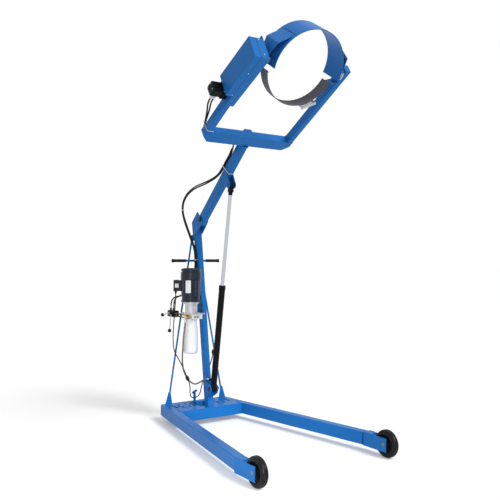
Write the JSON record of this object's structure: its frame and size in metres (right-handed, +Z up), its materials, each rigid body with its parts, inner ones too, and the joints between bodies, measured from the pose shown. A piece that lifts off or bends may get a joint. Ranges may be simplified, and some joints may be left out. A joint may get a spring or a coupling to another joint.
{
  "type": "drum handler",
  "caption": "Hydraulic straddle-base drum handler: a leaning mast and ram lift a boom whose yoke turns a half-ring drum holder by a chain drive.",
  "frame": {"origin": "on the floor, under the middle of the machine's length and width", "axes": "+X to the machine's right side, -Y forward along the legs, +Z up"},
  "size_m": [1.237, 2.1895, 3.1431],
  "materials": {
    "blue_paint": "gloss",
    "black_paint": "satin",
    "motor_paint": "satin",
    "pump_alloy": "satin",
    "white_plastic": "matte",
    "chrome": "polished",
    "steel": "satin",
    "brass": "satin",
    "tyre": "matte",
    "rubber": "matte",
    "webbing": "matte",
    "black_plastic": "satin"
  },
  "bodies": {
    "frame": {"leg_left": "blue_paint", "leg_right": "blue_paint", "cross_tubes": "blue_paint", "caster_decks": "blue_paint", "fork_left": "blue_paint", "fork_right": "blue_paint", "pins_and_axles": "steel", "caster_plates": "steel", "lock_sleeve": "blue_paint", "mast": "blue_paint", "mast_brackets": "blue_paint", "braces": "blue_paint", "push_bar": "blue_paint", "grips": "rubber", "electric_motor": "motor_paint", "fan_cover": "motor_paint", "motor_boxes": "motor_paint", "pump_adapter": "pump_alloy", "manifold": "pump_alloy", "reservoir": "white_plastic", "unit_bracket": "blue_paint", "valve_body": "black_paint", "brass_fittings": "brass", "mast_hoses": "rubber", "hose_loop": "rubber", "lift_hose": "rubber", "power_cord": "rubber", "cord_tail": "rubber", "cord_plugs": "black_plastic"},
    "boom": {"boom": "blue_paint", "ram_bracket": "blue_paint", "yoke_beam": "blue_paint", "yoke_arm_left": "blue_paint", "yoke_arm_right": "blue_paint", "tilt_pan": "blue_paint", "tilt_cover": "blue_paint", "tilt_motor": "black_paint", "tilt_bearings": "steel", "boom_hoses": "rubber", "roller_chain": "steel"},
    "holder": {"saddle_band": "blue_paint", "side_brackets": "blue_paint", "tilt_shafts": "steel", "driven_sprocket": "steel", "drum_strap": "webbing", "ratchet_frame": "steel"},
    "ratchet": {"ratchet_handle": "steel"},
    "drive": {"drive_sprocket": "steel"},
    "cylinder": {"lift_cylinder": "black_paint"},
    "rod": {"piston_rod": "chrome", "rod_eye": "black_paint"},
    "wheel_left": {"front_wheel_left": "tyre"},
    "wheel_right": {"front_wheel_right": "tyre"},
    "swivel_left": {"caster_horn_left": "steel"},
    "swivel_right": {"caster_horn_right": "steel"},
    "roller_left": {"caster_wheel_left": "tyre"},
    "roller_right": {"caster_wheel_right": "tyre"},
    "lift_valve_lever": {"lift_lever": "steel"},
    "tilt_valve_lever": {"tilt_lever": "steel"},
    "floor_lock": {"lock_screw": "blue_paint"}
  },
  "joints": [
    {"name": "boom_lift", "type": "hinge", "parent": "frame", "child": "boom", "pos_m": [0, 0.69975, 1.784], "axis": [-1, 0, 0], "range_deg": [-86, 0], "deforming": ["hose_loop"]},
    {"name": "cylinder_swing", "type": "hinge", "parent": "frame", "child": "cylinder", "pos_m": [0, 0.50275, 0.311], "axis": [-1, 0, 0], "range_deg": [0, 2.78], "deforming": ["lift_hose"]},
    {"name": "rod_slide", "type": "slide", "parent": "cylinder", "child": "rod", "axis": [0, -0.1502, 0.9887], "range_m": [-0.7281, 0]},
    {"name": "drum_tilt", "type": "hinge", "parent": "boom", "child": "holder", "pos_m": [0, -0.69575, 2.8387], "axis": [1, 0, 0], "continuous": true, "deforming": ["roller_chain"]},
    {"name": "drive_spin", "type": "hinge", "parent": "boom", "child": "drive", "pos_m": [-0.402, -0.35658, 2.66514], "axis": [1, 0, 0], "continuous": true},
    {"name": "ratchet_turn", "type": "hinge", "parent": "holder", "child": "ratchet", "pos_m": [0.11851, -0.51405, 2.60566], "axis": [0, 0.8415, 0.5402], "range_deg": [0, 80]},
    {"name": "front_wheel_left_spin", "type": "hinge", "parent": "frame", "child": "wheel_left", "pos_m": [-0.5775, -0.99325, 0.1015], "axis": [1, 0, 0], "continuous": true},
    {"name": "caster_left_swivel", "type": "hinge", "parent": "frame", "child": "swivel_left", "pos_m": [-0.178, 0.69975, 0.118], "axis": [0, 0, 1], "continuous": true},
    {"name": "caster_left_spin", "type": "hinge", "parent": "swivel_left", "child": "roller_left", "pos_m": [-0.178, 0.73475, 0.051], "axis": [1, 0, 0], "continuous": true},
    {"name": "front_wheel_right_spin", "type": "hinge", "parent": "frame", "child": "wheel_right", "pos_m": [0.5775, -0.99325, 0.1015], "axis": [1, 0, 0], "continuous": true},
    {"name": "caster_right_swivel", "type": "hinge", "parent": "frame", "child": "swivel_right", "pos_m": [0.178, 0.69975, 0.118], "axis": [0, 0, 1], "continuous": true},
    {"name": "caster_right_spin", "type": "hinge", "parent": "swivel_right", "child": "roller_right", "pos_m": [0.178, 0.73475, 0.051], "axis": [1, 0, 0], "continuous": true},
    {"name": "lift_lever_tilt", "type": "hinge", "parent": "frame", "child": "lift_valve_lever", "pos_m": [-0.2045, 0.94975, 0.94], "axis": [1, 0, 0], "range_deg": [-15, 15], "stiffness_Nm_per_rad": 8},
    {"name": "tilt_lever_tilt", "type": "hinge", "parent": "frame", "child": "tilt_valve_lever", "pos_m": [-0.2045, 0.91175, 0.922], "axis": [1, 0, 0], "range_deg": [-15, 15], "stiffness_Nm_per_rad": 8},
    {"name": "floor_lock_screw", "type": "slide", "parent": "frame", "child": "floor_lock", "axis": [0, 0, 1], "range_m": [-0.021, 0]}
  ],
  "couplings": [
    {"joint": "cylinder_swing", "follows": "boom_lift", "ratio": -0.032187},
    {"joint": "rod_slide", "follows": "boom_lift", "m_per_rad": 0.48498},
    {"joint": "drive_spin", "follows": "drum_tilt", "ratio": 1.8182}
  ]
}
